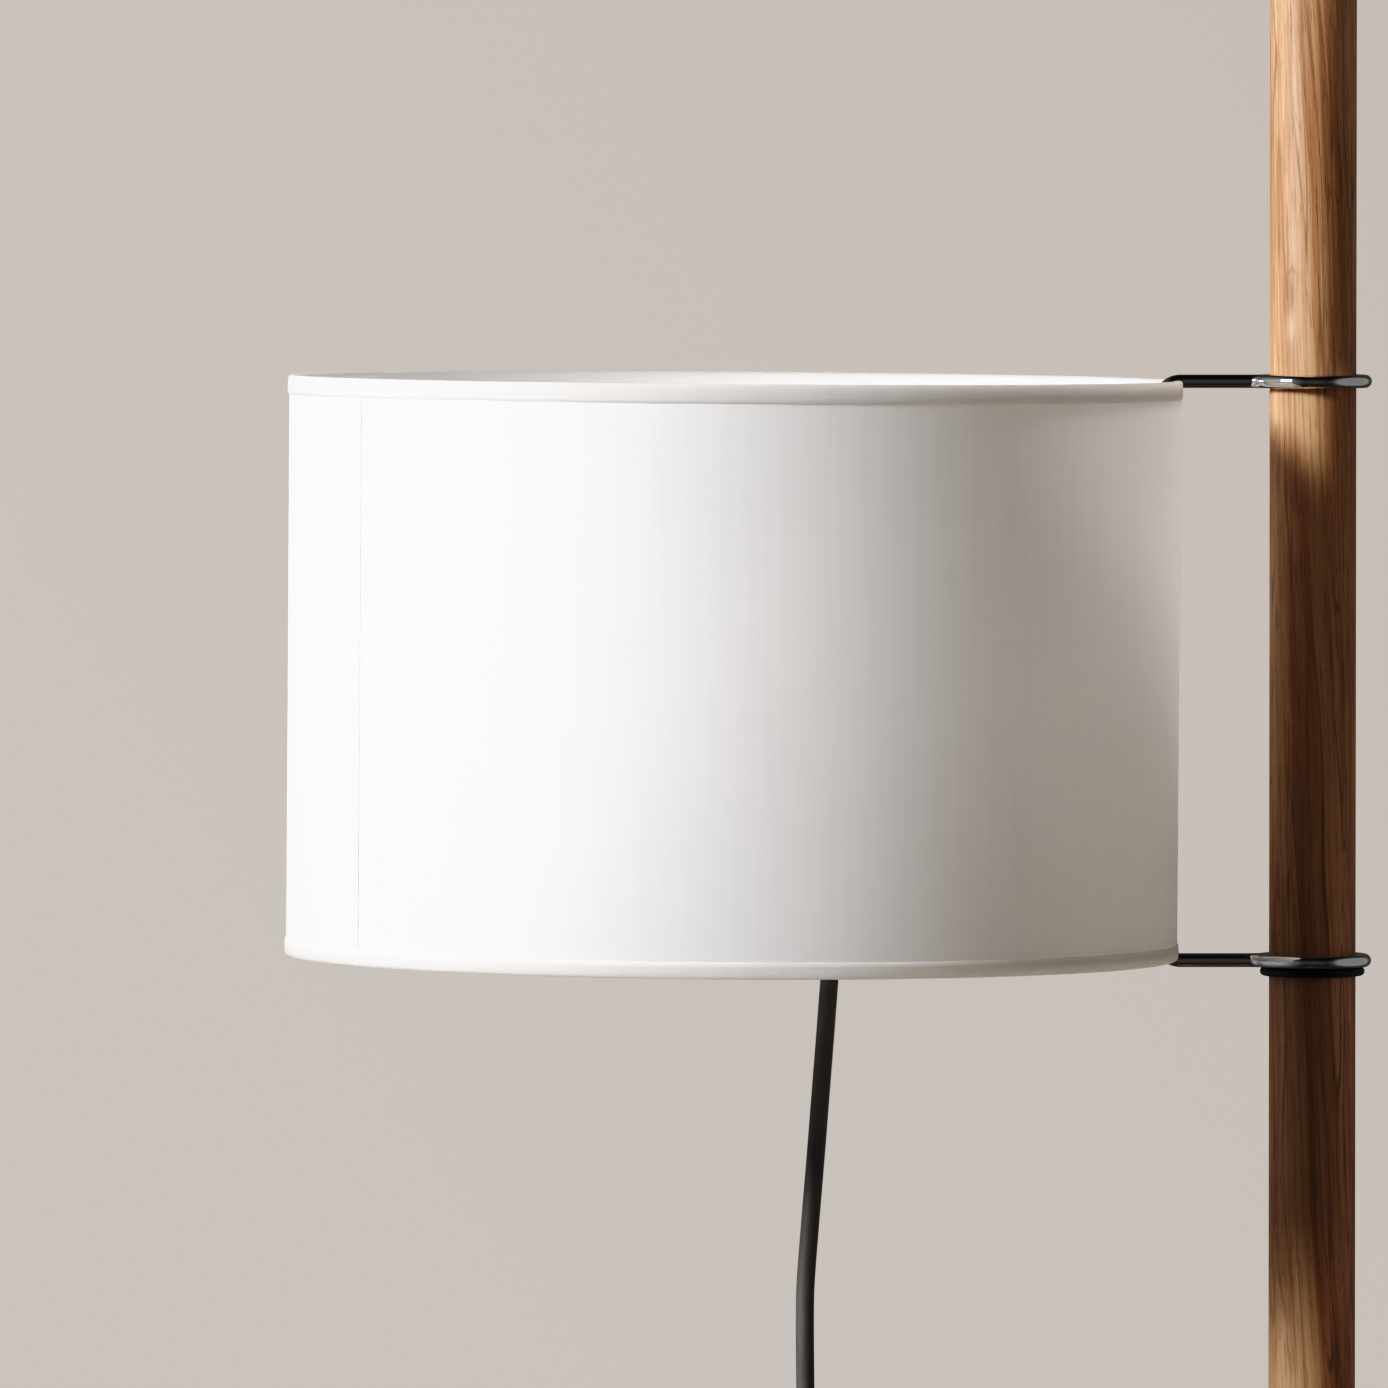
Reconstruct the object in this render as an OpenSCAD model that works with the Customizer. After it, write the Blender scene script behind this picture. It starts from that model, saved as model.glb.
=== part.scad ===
// Tripod floor lamp: a drum shade on a bent wire frame that slides and turns on a round
// wooden mast, held at its height by a rubber ring, with a hanging cord and a foot switch.
// The origin is on the floor under the mast's axis. +Z is up, and the shade hangs towards -X.

/* [Mast] */
// Diameter of the round wooden mast
mast_d = 34; // [30:1:36]
// Height of the mast's top end above the floor
mast_top = 1660; // [1640:10:1800]

/* [Base] */
// Diameter of the turned hub
hub_d = 104; // [98:2:120]
// Height of the turned hub
hub_h = 80; // [76:1:84]
// Height of the hub's underside above the floor
hub_z = 112; // [110:1:114]
// Distance of each foot's centre from the mast's axis
foot_r = 314; // [310:1:320]
// Slope of the legs below the horizontal, in degrees
leg_slope = 26; // [25:0.5:27]
// Diameter of a leg where it enters the hub
leg_d = 28; // [24:1:28]
// Diameter of a leg at its foot
leg_tip_d = 23; // [22:1:24]
// Thickness of the rubber foot pads
pad_h = 6; // [5:0.5:7]

/* [Wire frame] */
// Diameter of the bent wire
wire_d = 5; // [4.5:0.25:5]
// Height of the lower loop's centreline above the floor
frame_z = 1160; // [1100:5:1200]
// Height of the upper loop above the lower one
frame_h = 227.5; // [220:0.5:235]
// Radius of a loop's centreline round the mast
loop_r = 20.5; // [20:0.25:22]
// Radius of the bends where an arm turns into the shade
bend_r = 8; // [7:0.5:9]

/* [Stop ring] */
// Thickness of the rubber ring under the lower loop
ring_t = 3.5; // [3:0.1:4]

/* [Shade] */
// Outer diameter of the drum
shade_d = 350; // [340:1:360]
// Height of the drum
shade_h = 226.5; // [222:0.5:230]
// Distance of the drum's near wall from the mast's axis
shade_gap = 52; // [50:0.5:56]
// Lean of the drum on its frame, far side up, in degrees
shade_tilt = 0.4; // [0:0.1:0.5]
// Height of the folded tape on both rims
trim_h = 6.5; // [6:0.5:8]

/* [Lampholder] */
// Height of the holder's arm above the lower loop
arm_rise = 58; // [56:1:62]
// Largest diameter of the bulb
bulb_d = 60; // [55:1:64]

/* [Cord] */
// Diameter of the cord
cord_d = 7.2; // [7:0.1:7.2]
// Height above the floor where the hanging cord is divided, so that it can follow the shade
cord_split = 720; // [700:10:740]

/* [Foot switch] */
// Travel of the foot switch's button
press = 3; // [2:0.5:3.5]

/* [Hidden] */
$fn = 72;

// Small gaps of a glued or pressed joint, and of a loose one
snug = 0.05;
loose = 0.1;

// Colours
walnut = "#8a5a3a";
chrome = "#c9ccd0";
zinc = "#a9adb3";
brass = "#c8a04b";
rubber = "#1b1b1c";
cord_black = "#3a3537";
plastic = "#202022";
white_cloth = "#f4f2ee";
styrene = "#f7f6f2";
ceramic = "#ebe6dc";

// Base
hub_r = hub_d / 2;
hub_top = hub_z + hub_h;
hub_top_round = 14;
hub_bottom_round = 10;
socket_depth = 45;
socket_z = hub_top - socket_depth;
bolt_d = 8;
bolt_pocket_d = 26;
bolt_pocket_h = 12;
washer_h = 2;
bolt_head_h = 5.3;
insert_d = 12;
insert_h = 25;
leg_azimuths = [0, 120, 240];
foot_axis_z = 14;
leg_rise = foot_axis_z + foot_r * tan(leg_slope);
leg_shoulder = 49;
leg_end = (foot_r + 11) / cos(leg_slope);
leg_chamfer = 3;
tenon_d = 16;
tenon_start = 26.7;
pin_d = 5;
pin_r = 33;
pin_top = 159;
pin_bottom = hub_z + 4;
pad_d = 19;
screw_d = 3.5;
screw_head_d = 7;
screw_head_z = 2;
screw_head_h = 2.2;
screw_top = pad_h + 12;

// Wire frame
wire_r = wire_d / 2;
frame_top = frame_z + frame_h;
arm_half_y = wire_r + 0.125;
loop_run = 8;
flare_r = 6.5;
shoulder_r = loop_r - arm_half_y - flare_r;
shoulder_x = -loop_run - shoulder_r;
riser_x = -shade_gap - bend_r;

// Stop ring
ring_z = frame_z - wire_r - 0.3 - ring_t / 2;
ring_r = mast_d / 2 + snug + ring_t / 2;

// Drum, as radii from its own axis and heights from its middle
shade_r = shade_d / 2;
shade_x = -shade_gap - shade_r;
shade_z = frame_z + shade_h / 2;
cloth_t = 0.6;
liner_t = 0.8;
tape_t = 0.6;
rim_wire_r = 1.5;
rim_wire_at = shade_r - cloth_t - liner_t - rim_wire_r;
rim_wire_z = shade_h / 2 - 4.3;
tape_in = rim_wire_at - rim_wire_r - snug;
notch_w = 4 * wire_r + 1.2;
notch_depth = wire_r + 0.7;

// Lampholder, as heights above the middle of its arm
arm_z = frame_z + arm_rise;
nipple_r = 5;
arm_y = nipple_r + loose + wire_r;
riser_overlap = 1.5;
holder_washer_h = 1.5;
nut_h = 3.5;
cap_low = wire_r + holder_washer_h;
cap_rim = cap_low + 14;
cap_top = cap_low + 28;
cap_r = 21;
cap_foot_r = 12;
shell_r = 20;
shell_top = cap_top + 38;
insert_low = cap_top + 2;
insert_top = insert_low + 10;
thread_top = shell_top - 2;
thread_r = 13.4;
bulb_foot = insert_top + 4;
bulb_neck = shell_top + 3;
bulb_centre = shell_top + 52;
bulb_r = bulb_d / 2;
neck_r = 13.8;

// Gland: the point where the cord comes out, from the drum's axis and the lower loop
gland_out = [29.5, 0, 53];
gland_slope = 50;
gland_l = 30;
gland_r = 4.9;
gland_tip_r = 4.3;
cord_r = cord_d / 2;

// Route of the hanging cord, from the drum's axis and the lower loop
hang_route = [
    [29.5, 0, 53], [33.7, 0, 47], [36.8, 0, 40.4], [38.7, 0, 33.3], [39.3, 0, 26],
    [39, 0, 14], [38.1, 0, 3], [37.2, 0, -8], [35.4, 0, -32], [33.6, 0, -55],
    [31.8, 0, -78], [29.9, 0, -101], [28.4, 0, -120], [27.7, 0, -132], [27.6, 0, -148],
    [27.8, 0, -170], [28, 0, -200], [28, 0, -240], [28, 0, -280], [28, 0, -320],
    [28, 0, -360], [28, 0, -400]
];
upper_route = concat(
    [for (p = hang_route) [p[0] + shade_x, p[1], p[2] + frame_z]],
    [[28 + shade_x, 0, cord_split]]
);
hang_x = 28 + shade_x;

// Route of the standing length down to the foot switch, from the foot of the hanging cord
drop_route = [
    [0, 0, 680], [0, 0, 640], [0, 0, 600], [0, 0, 560], [0, 0, 520], [0, 0, 480], [0, 0, 440],
    [0, 0, 400], [0, 0, 360], [0, 0, 320], [0, 0, 280], [0, 0, 240], [0, 0, 200], [0, 0, 160],
    [0, 0, 120], [0, 0, 80], [0, 0, 50], [-1, 3, 33], [-5, 12, 18], [-10, 26, 8],
    [-15, 41, 4], [-21, 58, 5]
];

// Foot switch: its middle and its long axis, and its sizes
switch_at = [hang_x - 48, 127, 0];
switch_turn = atan2(56, -22);
switch_l = 76;
switch_w = 38;
switch_base_h = 5;
switch_h = 21;
switch_wall = 2;
switch_corner = 12;
switch_round = 3;
cord_up = 8;
cord_into_switch = 31;
button_r = 12;
button_flange = 1.5;
sleeve_l = 22;
sleeve_r = 5.5;
sleeve_tip_r = 4.3;
spring_r = 4.5;
spring_wire = 0.9;
spring_turns = 4;
block_h = 3;
button_top = switch_h + press + 2;
button_roof = button_top - 4;
post_at = [27, 10];
sleeve_flange = 1.2;

// A point on the switch's long axis, where the cord runs through its sleeves
function in_switch(d) =
    switch_at + [d * cos(switch_turn), d * sin(switch_turn), cord_up];
lower_route = concat(
    [[hang_x, 0, cord_split]],
    [for (p = drop_route) [p[0] + hang_x, p[1], p[2]]],
    [for (d = [switch_l / 2 + sleeve_l, cord_into_switch]) in_switch(-d)]
);

// Route from the foot switch to the coil, from the foot of the hanging cord
tail_route = [
    [-76, 198, 5], [-84, 211, 4], [-97, 223, 4], [-114, 229, 4], [-132, 228, 4],
    [-149, 220, 4], [-162, 207, 4], [-170, 190, 4], [-175, 170, 4], [-176, 150, 4.5],
    [-176.2, 131, 4.7], [-176.2, 120, 4.7]
];
tail_points = concat(
    [for (d = [cord_into_switch, switch_l / 2 + sleeve_l]) in_switch(d)],
    [for (p = tail_route) [p[0] + hang_x, p[1], p[2]]]
);

// Coil of the spare length: five turns in two layers, lying on its tie
coil_at = [hang_x - 129, 120, 1];
coil_mid_r = 40;
coil_in = coil_mid_r - 1.5 * cord_d;
coil_out = coil_mid_r + 1.5 * cord_d;
coil_h = cord_d * (1 + sin(60));
tie_t = 0.9;
tie_angle = 13;
tie_from = 62;

// Route from the coil to the plug, from the foot of the hanging cord
end_route = [
    [-172.8, 118, 10.8], [-174, 104, 10.6], [-175, 92, 10.4], [-175.2, 76, 9.4],
    [-175, 60, 8], [-172, 44, 7.1], [-167, 29, 7]
];

// Plug: the place where its sleeve begins, its heading and its sizes
plug_at = [hang_x - 167, 29, 7];
plug_turn = atan2(-15, 5);
cord_into_plug = 20;
plug_sleeve_l = 24;
plug_l = 36;
plug_w = 35;
plug_h = 14;
pin_gap = 19;
plug_pin_r = 2;
plug_pin_l = 19;
end_points = concat(
    [for (p = end_route) [p[0] + hang_x, p[1], p[2]]],
    [plug_at + cord_into_plug * [cos(plug_turn), sin(plug_turn), 0]]
);

// Sweeps a round tube of diameter d along points, with flat ends square to its path.
function unit(v) = v / norm(v);
function way(p, i) = unit(p[min(i + 1, len(p) - 1)] - p[max(i - 1, 0)]);
function across(t) = unit(cross(t, abs(t[1]) < 0.9 ? [0, 1, 0] : [0, 0, 1]));
function ring_of(p, i, r, n) =
    let (t = way(p, i), u = across(t), v = cross(t, u))
    [for (k = [0 : n - 1]) p[i] + r * (cos(360 * k / n) * u + sin(360 * k / n) * v)];

module tube(points, d, sides = 10) {
    rings = len(points);
    corners = [for (i = [0 : rings - 1]) each ring_of(points, i, d / 2, sides)];
    walls = [
        for (i = [0 : rings - 2], k = [0 : sides - 1])
        let (a = i * sides + k, b = i * sides + (k + 1) % sides)
        [a, b, b + sides, a + sides]
    ];
    near_end = [[for (k = [0 : sides - 1]) sides - 1 - k]];
    far_end = [[for (k = [0 : sides - 1]) (rings - 1) * sides + k]];
    polyhedron(corners, concat(walls, near_end, far_end), convexity = 10);
}

// A turned disc or ring between two radii.
module ring(outer, inner, h) {
    difference() {
        cylinder(r = outer, h = h);
        translate([0, 0, -1]) cylinder(r = inner, h = h + 2);
    }
}

// A flat plate with round corners.
module plate(l, w, h, r) {
    linear_extrude(h) union() {
        square([l - 2 * r, w], center = true);
        square([l, w - 2 * r], center = true);
        for (x = [-1, 1], y = [-1, 1])
            translate([x * (l / 2 - r), y * (w / 2 - r)]) circle(r);
    }
}

// A conical strain relief along +Z with a bore for the cord.
module sleeve(l, r_root, r_tip) {
    difference() {
        cylinder(r1 = r_root, r2 = r_tip, h = l);
        translate([0, 0, -1]) cylinder(r = cord_r + snug, h = l + 2);
    }
}

// ---------------------------------------------------------------- mast and base

module mast() {
    top_round = 3;
    color(walnut) difference() {
        union() {
            translate([0, 0, socket_z]) cylinder(d = mast_d, h = mast_top - top_round - socket_z);
            translate([0, 0, mast_top - top_round]) rotate_extrude() union() {
                square([mast_d / 2 - top_round, top_round]);
                intersection() {
                    translate([mast_d / 2 - top_round, 0]) circle(top_round);
                    square([mast_d / 2, top_round]);
                }
            }
        }
        translate([0, 0, socket_z - 1]) cylinder(d = insert_d, h = insert_h + 2);
    }
}

module mast_insert() {
    color(brass) translate([0, 0, socket_z]) ring(insert_d / 2, bolt_d / 2 + snug, insert_h);
}

// The axis of a leg: outwards and down from above the hub's middle.
module along_leg(azimuth) {
    rotate([0, 0, azimuth]) translate([0, 0, leg_rise]) rotate([0, 90 + leg_slope, 0]) children();
}

module hub_profile() {
    square([hub_r - hub_top_round, hub_h]);
    translate([0, hub_bottom_round])
        square([hub_r, hub_h - hub_top_round - hub_bottom_round]);
    translate([0, 0]) square([hub_r - hub_bottom_round, hub_bottom_round]);
    intersection() {
        translate([hub_r - hub_top_round, hub_h - hub_top_round]) circle(hub_top_round);
        square([hub_r + 1, hub_h + 1]);
    }
    intersection() {
        translate([hub_r - hub_bottom_round, hub_bottom_round]) circle(hub_bottom_round);
        square([hub_r + 1, hub_h]);
    }
}

module hub() {
    color(walnut) difference() {
        translate([0, 0, hub_z]) rotate_extrude() hub_profile();
        translate([0, 0, socket_z]) cylinder(d = mast_d + 2 * snug, h = socket_depth + 1);
        translate([0, 0, hub_z - 1]) cylinder(d = bolt_d + 0.6, h = hub_h);
        translate([0, 0, hub_z - 1]) cylinder(d = bolt_pocket_d, h = bolt_pocket_h + 1);
        for (azimuth = leg_azimuths) {
            along_leg(azimuth) {
                translate([0, 0, tenon_start - 1]) cylinder(d = tenon_d + loose, h = 80);
                translate([0, 0, leg_shoulder]) cylinder(d = leg_d + loose, h = 80);
            }
            rotate([0, 0, azimuth]) translate([pin_r, 0, hub_z - 1])
                cylinder(d = pin_d + loose, h = pin_top - hub_z + 2);
        }
    }
}

module hub_bolt() {
    head_low = hub_z + bolt_pocket_h - washer_h - bolt_head_h;
    color(zinc) union() {
        translate([0, 0, head_low]) cylinder(d = 15, h = bolt_head_h, $fn = 6);
        translate([0, 0, head_low + bolt_head_h]) cylinder(d = bolt_d, h = 48);
    }
}

module hub_washer() {
    color(zinc) translate([0, 0, hub_z + bolt_pocket_h - washer_h])
        ring(12, bolt_d / 2 + 0.2, washer_h);
}

module leg(azimuth) {
    taper = leg_end - leg_chamfer - leg_shoulder;
    color(walnut) difference() {
        along_leg(azimuth) union() {
            translate([0, 0, tenon_start]) cylinder(d = tenon_d, h = leg_shoulder - tenon_start);
            translate([0, 0, leg_shoulder]) cylinder(d1 = leg_d, d2 = leg_tip_d, h = taper);
            translate([0, 0, leg_end - leg_chamfer])
                cylinder(d1 = leg_tip_d, d2 = leg_tip_d - 5, h = leg_chamfer);
        }
        rotate([0, 0, azimuth]) {
            translate([foot_r, 0, pad_h - 50]) cube([200, 100, 100], center = true);
            translate([foot_r, 0, pad_h - 1]) cylinder(d = screw_d + loose, h = 14);
            translate([pin_r, 0, pin_bottom]) cylinder(d = pin_d + loose, h = 60);
        }
    }
}

module leg_1() { leg(leg_azimuths[0]); }

module leg_2() { leg(leg_azimuths[1]); }

module leg_3() { leg(leg_azimuths[2]); }

module leg_pins() {
    color(walnut) for (azimuth = leg_azimuths)
        rotate([0, 0, azimuth]) translate([pin_r, 0, pin_bottom])
            cylinder(d = pin_d, h = pin_top - pin_bottom);
}

module foot(azimuth) {
    color(rubber) rotate([0, 0, azimuth]) translate([foot_r, 0, 0]) difference() {
        cylinder(d = pad_d, h = pad_h);
        translate([0, 0, -1]) cylinder(d = screw_d + 0.3, h = pad_h + 2);
        translate([0, 0, -1])
            cylinder(d = screw_head_d + 0.6, h = screw_head_z + screw_head_h + 1);
    }
}

module foot_1() { foot(leg_azimuths[0]); }

module foot_2() { foot(leg_azimuths[1]); }

module foot_3() { foot(leg_azimuths[2]); }

module foot_screws() {
    color(zinc) for (azimuth = leg_azimuths)
        rotate([0, 0, azimuth]) translate([foot_r, 0, screw_head_z]) difference() {
            union() {
                cylinder(d = screw_head_d, h = screw_head_h);
                cylinder(d = screw_d, h = screw_top - screw_head_z);
            }
            for (turn = [0, 90])
                rotate([0, 0, turn]) cube([4, 0.9, 2], center = true);
        }
}

// ---------------------------------------------------------------- stop ring

module stop_ring() {
    color(rubber) translate([0, 0, ring_z]) rotate_extrude()
        translate([ring_r, 0]) circle(d = ring_t, $fn = 32);
}

// ---------------------------------------------------------------- wire frame

// A bend of the wire in the XY plane, about the origin.
module wire_bend(r, from, to) {
    rotate([0, 0, from]) rotate_extrude(angle = to - from)
        translate([r, 0]) circle(wire_r, $fn = 32);
}

module wire_along_x(x_from, x_to, y, z) {
    translate([x_to, y, z]) rotate([0, 90, 0]) cylinder(r = wire_r, h = x_from - x_to, $fn = 32);
}

// Half of a loop and its arm: round the mast, in over the shoulder, and out along the arm.
module arm_half(z) {
    wire_along_x(0, -loop_run, loop_r, z);
    translate([-loop_run, loop_r - shoulder_r, z]) wire_bend(shoulder_r, 90, 180);
    translate([shoulder_x - flare_r, loop_r - shoulder_r, z]) wire_bend(flare_r, -90, 0);
    wire_along_x(shoulder_x - flare_r, -shade_gap, arm_half_y, z);
}

module frame_half() {
    arm_half(frame_z);
    arm_half(frame_top);
    translate([-shade_gap, arm_half_y, frame_top - bend_r])
        rotate([90, 0, 0]) wire_bend(bend_r, 90, 180);
    translate([-shade_gap, arm_half_y, frame_z + bend_r])
        rotate([90, 0, 0]) wire_bend(bend_r, 180, 270);
    translate([riser_x, arm_half_y, frame_z + bend_r])
        cylinder(r = wire_r, h = frame_h - 2 * bend_r, $fn = 32);
}

module shade_frame() {
    color(chrome) union() {
        for (z = [frame_z, frame_top])
            translate([0, 0, z]) wire_bend(loop_r, -90, 90);
        frame_half();
        mirror([0, 1, 0]) frame_half();
    }
}

// ---------------------------------------------------------------- drum shade

// Places what is built about the drum's own axis and middle, leaning about its near wall.
module on_drum() {
    translate([-shade_gap, 0, shade_z]) rotate([0, shade_tilt, 0])
        translate([-shade_r, 0, 0]) children();
}

// Room for the frame's two wires through both rims, and between the risers and the tape.
module wire_notches() {
    for (z = [frame_top + 10 - notch_depth, frame_z - 10 + notch_depth])
        translate([-shade_gap, 0, z]) cube([16, notch_w, 20], center = true);
}

module riser_notches() {
    for (z = [frame_top, frame_z])
        translate([riser_x + 1, 0, z]) cube([8, notch_w, 40], center = true);
}

module drum_wall(outer, thickness) {
    difference() {
        on_drum() translate([0, 0, tape_t - shade_h / 2])
            ring(outer, outer - thickness, shade_h - 2 * tape_t);
        wire_notches();
    }
}

module rim_wire(z) {
    on_drum() translate([0, 0, z]) rotate_extrude()
        translate([rim_wire_at, 0]) circle(rim_wire_r, $fn = 24);
}

// Tape folded over a rim: its outer leg, the edge and the leg inside the rim wire.
module rim_tape() {
    rotate_extrude() polygon([
        [shade_r + tape_t, 0], [shade_r + tape_t, -trim_h], [shade_r, -trim_h],
        [shade_r, -tape_t], [tape_in, -tape_t], [tape_in, -trim_h],
        [tape_in - tape_t, -trim_h], [tape_in - tape_t, 0]
    ]);
}

module ring_top() { color(zinc) rim_wire(rim_wire_z); }

module ring_bottom() { color(zinc) rim_wire(-rim_wire_z); }

module shade_liner() { color(styrene) drum_wall(shade_r - cloth_t, liner_t); }

module shade_fabric() { color(white_cloth) drum_wall(shade_r, cloth_t); }

module trim_top() {
    color(white_cloth) difference() {
        on_drum() translate([0, 0, shade_h / 2]) rim_tape();
        wire_notches();
        riser_notches();
    }
}

module trim_bottom() {
    color(white_cloth) difference() {
        on_drum() translate([0, 0, -shade_h / 2]) mirror([0, 0, 1]) rim_tape();
        wire_notches();
        riser_notches();
    }
}

// ---------------------------------------------------------------- lampholder and bulb

module at_holder(h) { translate([shade_x, 0, arm_z + h]) children(); }

// The gland's own axis: out of the cap, downwards and towards the mast.
module along_gland() {
    translate([shade_x, 0, frame_z] + gland_out) rotate([0, 90 + gland_slope, 0])
        translate([0, 0, -gland_l]) children();
}

module lamp_arm() {
    reach = riser_x + riser_overlap;
    color(chrome) union() {
        at_holder(0) wire_bend(arm_y, 90, 270);
        for (y = [-arm_y, arm_y]) wire_along_x(reach, shade_x, y, arm_z);
    }
}

module holder_washers() {
    color(zinc) for (h = [-wire_r - holder_washer_h, wire_r])
        at_holder(h) ring(10.5, nipple_r + loose, holder_washer_h);
}

module holder_nut() {
    color(zinc) at_holder(-wire_r - holder_washer_h - nut_h) difference() {
        cylinder(d = 16, h = nut_h, $fn = 6);
        translate([0, 0, -1]) cylinder(r = nipple_r + snug, h = nut_h + 2);
    }
}

module holder_nipple() {
    low = -wire_r - holder_washer_h - nut_h - 2;
    color(zinc) at_holder(low) ring(nipple_r, 3.5, cap_low + 14 - low);
}

// The cap's outline, less its wall t.
module cap_shape(t) {
    polygon([
        [0, cap_low + t], [cap_foot_r, cap_low + t], [cap_r - t, cap_rim + t / 2],
        [cap_r - t, cap_top + (t > 0 ? 1 : 0)], [0, cap_top + (t > 0 ? 1 : 0)]
    ]);
}

module holder_cap() {
    color(plastic) difference() {
        at_holder(0) rotate_extrude() difference() {
            cap_shape(0);
            cap_shape(2);
        }
        at_holder(0) cylinder(r = nipple_r + loose, h = cap_low + 10);
        along_gland() cylinder(r = gland_r + loose, h = gland_l);
    }
}

module holder_shell() {
    ribs = [6, 11, 16, 21, 26];
    color(plastic) at_holder(cap_top) union() {
        ring(shell_r, shell_r - 2, shell_top - cap_top);
        for (h = ribs) translate([0, 0, h]) ring(shell_r + 0.8, shell_r - 1, 2);
    }
}

module holder_insert() {
    color(ceramic) at_holder(insert_low) difference() {
        cylinder(r = shell_r - 2 - loose, h = insert_top - insert_low);
        for (x = [-1, 1]) translate([x * 8, 0, -1]) cylinder(r = 2, h = 20);
    }
}

module holder_thread() {
    color(brass) at_holder(insert_top) ring(thread_r + 0.8, thread_r, thread_top - insert_top);
}

module holder_contact() {
    color(brass) at_holder(insert_top) union() {
        translate([-6, -2.5, 0]) cube([12, 5, 0.8]);
        cylinder(r = 2.5, h = 2);
    }
}

module cord_gland() {
    color(plastic) along_gland() sleeve(gland_l, gland_r, gland_tip_r);
}

module bulb_outline(t) {
    union() {
        translate([0, bulb_centre]) circle(bulb_r - t);
        polygon([
            [0, bulb_neck - (t > 0 ? 1 : 0)], [neck_r - t, bulb_neck - (t > 0 ? 1 : 0)],
            [neck_r - t, bulb_neck + 4], [(bulb_r - t) * 0.78, bulb_centre - (bulb_r - t) * 0.626],
            [0, bulb_centre]
        ]);
    }
}

module bulb_glass() {
    color("white") at_holder(0) rotate_extrude() intersection() {
        difference() {
            bulb_outline(0);
            bulb_outline(1);
        }
        translate([0, -200]) square([200, 600]);
    }
}

module bulb_cap() {
    color(brass) at_holder(bulb_foot) union() {
        ring(thread_r - 0.4, thread_r - 1, bulb_neck - bulb_foot);
        cylinder(r = thread_r - 0.9, h = 1);
    }
}

module bulb_tip() {
    color(brass) at_holder(insert_top + 2) cylinder(r1 = 3, r2 = 5, h = bulb_foot - insert_top - 2);
}

module cord_upper() { color(cord_black) tube(upper_route, cord_d); }

// ---------------------------------------------------------------- cord and foot switch

module cord_lower() { color(cord_black) tube(lower_route, cord_d); }

module at_switch(h) { translate(switch_at) rotate([0, 0, switch_turn]) translate([0, 0, h]) children(); }

// What goes in at both ends of the foot switch, along +Z and outwards from its middle.
module at_switch_ends() {
    for (side = [-1, 1])
        at_switch(cord_up) translate([side * (switch_l / 2), 0, 0])
            rotate([0, side * 90, 0]) children();
}

// Room for the sleeves: a hole through the wall and a wider pocket for the flange behind it.
module sleeve_room() {
    at_switch_ends() {
        translate([0, 0, -8]) cylinder(r = sleeve_r + loose, h = 30);
        translate([0, 0, -8]) cylinder(r = sleeve_r + sleeve_flange + loose, h = 8 - switch_wall);
    }
}

module switch_base() {
    color(plastic) difference() {
        union() {
            at_switch(0) plate(switch_l, switch_w, switch_base_h - 2, switch_corner);
            at_switch(0) plate(
                switch_l - 2 * switch_wall - loose, switch_w - 2 * switch_wall - loose,
                switch_base_h, switch_corner - switch_wall
            );
            at_switch(0) cylinder(r = spring_r - 1, h = switch_base_h + block_h + 1);
        }
        sleeve_room();
        for (side = [-1, 1])
            at_switch(-1) translate(side * post_at) {
                cylinder(d = 3.2, h = 20);
                cylinder(d = 6, h = 3);
            }
    }
}

module switch_cover() {
    inner_top = switch_h - switch_wall;
    roof_corner = switch_corner - switch_round - switch_wall;
    color(plastic) difference() {
        at_switch(switch_base_h - 2) union() {
            plate(switch_l, switch_w, switch_h - switch_base_h + 2 - switch_round, switch_corner);
            plate(
                switch_l - 2 * switch_round, switch_w - 2 * switch_round,
                switch_h - switch_base_h + 2, switch_corner - switch_round
            );
        }
        at_switch(0) plate(
            switch_l - 2 * switch_wall, switch_w - 2 * switch_wall,
            switch_h - switch_round - 1.5, switch_corner - switch_wall
        );
        at_switch(0) plate(
            switch_l - 2 * (switch_round + switch_wall),
            switch_w - 2 * (switch_round + switch_wall), inner_top, roof_corner
        );
        at_switch(0) cylinder(r = button_r + 0.3, h = switch_h + 1);
        sleeve_room();
    }
    color(plastic) for (side = [-1, 1])
        at_switch(switch_base_h) translate(side * post_at)
            ring(3, 1.4, inner_top - switch_base_h + 0.5);
}

module switch_block() {
    color(ceramic) at_switch(switch_base_h) for (side = [-1, 1])
        translate([side * 18 - 4, -6, 0]) cube([8, 12, block_h + 3]);
}

module switch_spring() {
    low = switch_base_h + spring_wire / 2;
    high = button_roof - spring_wire / 2;
    steps = 12 * spring_turns;
    coil = [
        for (i = [0 : steps])
        [spring_r * cos(30 * i), spring_r * sin(30 * i), low + (high - low) * i / steps]
    ];
    color(zinc) at_switch(0) tube(coil, spring_wire, 8);
}

module switch_sleeves() {
    root = switch_wall + loose;
    color(rubber) at_switch_ends() union() {
        sleeve(sleeve_l, sleeve_r, sleeve_tip_r);
        translate([0, 0, -root]) ring(sleeve_r, cord_r + snug, root);
        translate([0, 0, -root - 2]) ring(sleeve_r + sleeve_flange, cord_r + snug, 2);
    }
}

module switch_screws() {
    color(zinc) for (side = [-1, 1])
        at_switch(0.6) translate(side * post_at) union() {
            cylinder(d = 5.4, h = 1.4);
            cylinder(d = 2.7, h = 12);
        }
}

module switch_button() {
    low = switch_h - 5;
    color(plastic) difference() {
        union() {
            at_switch(low) cylinder(r = button_r + button_flange, h = 2.6);
            at_switch(low) cylinder(r = button_r, h = button_top - 1.5 - low);
            at_switch(button_top - 1.5) cylinder(r1 = button_r, r2 = button_r - 1.5, h = 1.5);
        }
        at_switch(0) cylinder(r = spring_r + 1, h = button_roof);
    }
}

// ---------------------------------------------------------------- coil and plug

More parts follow.
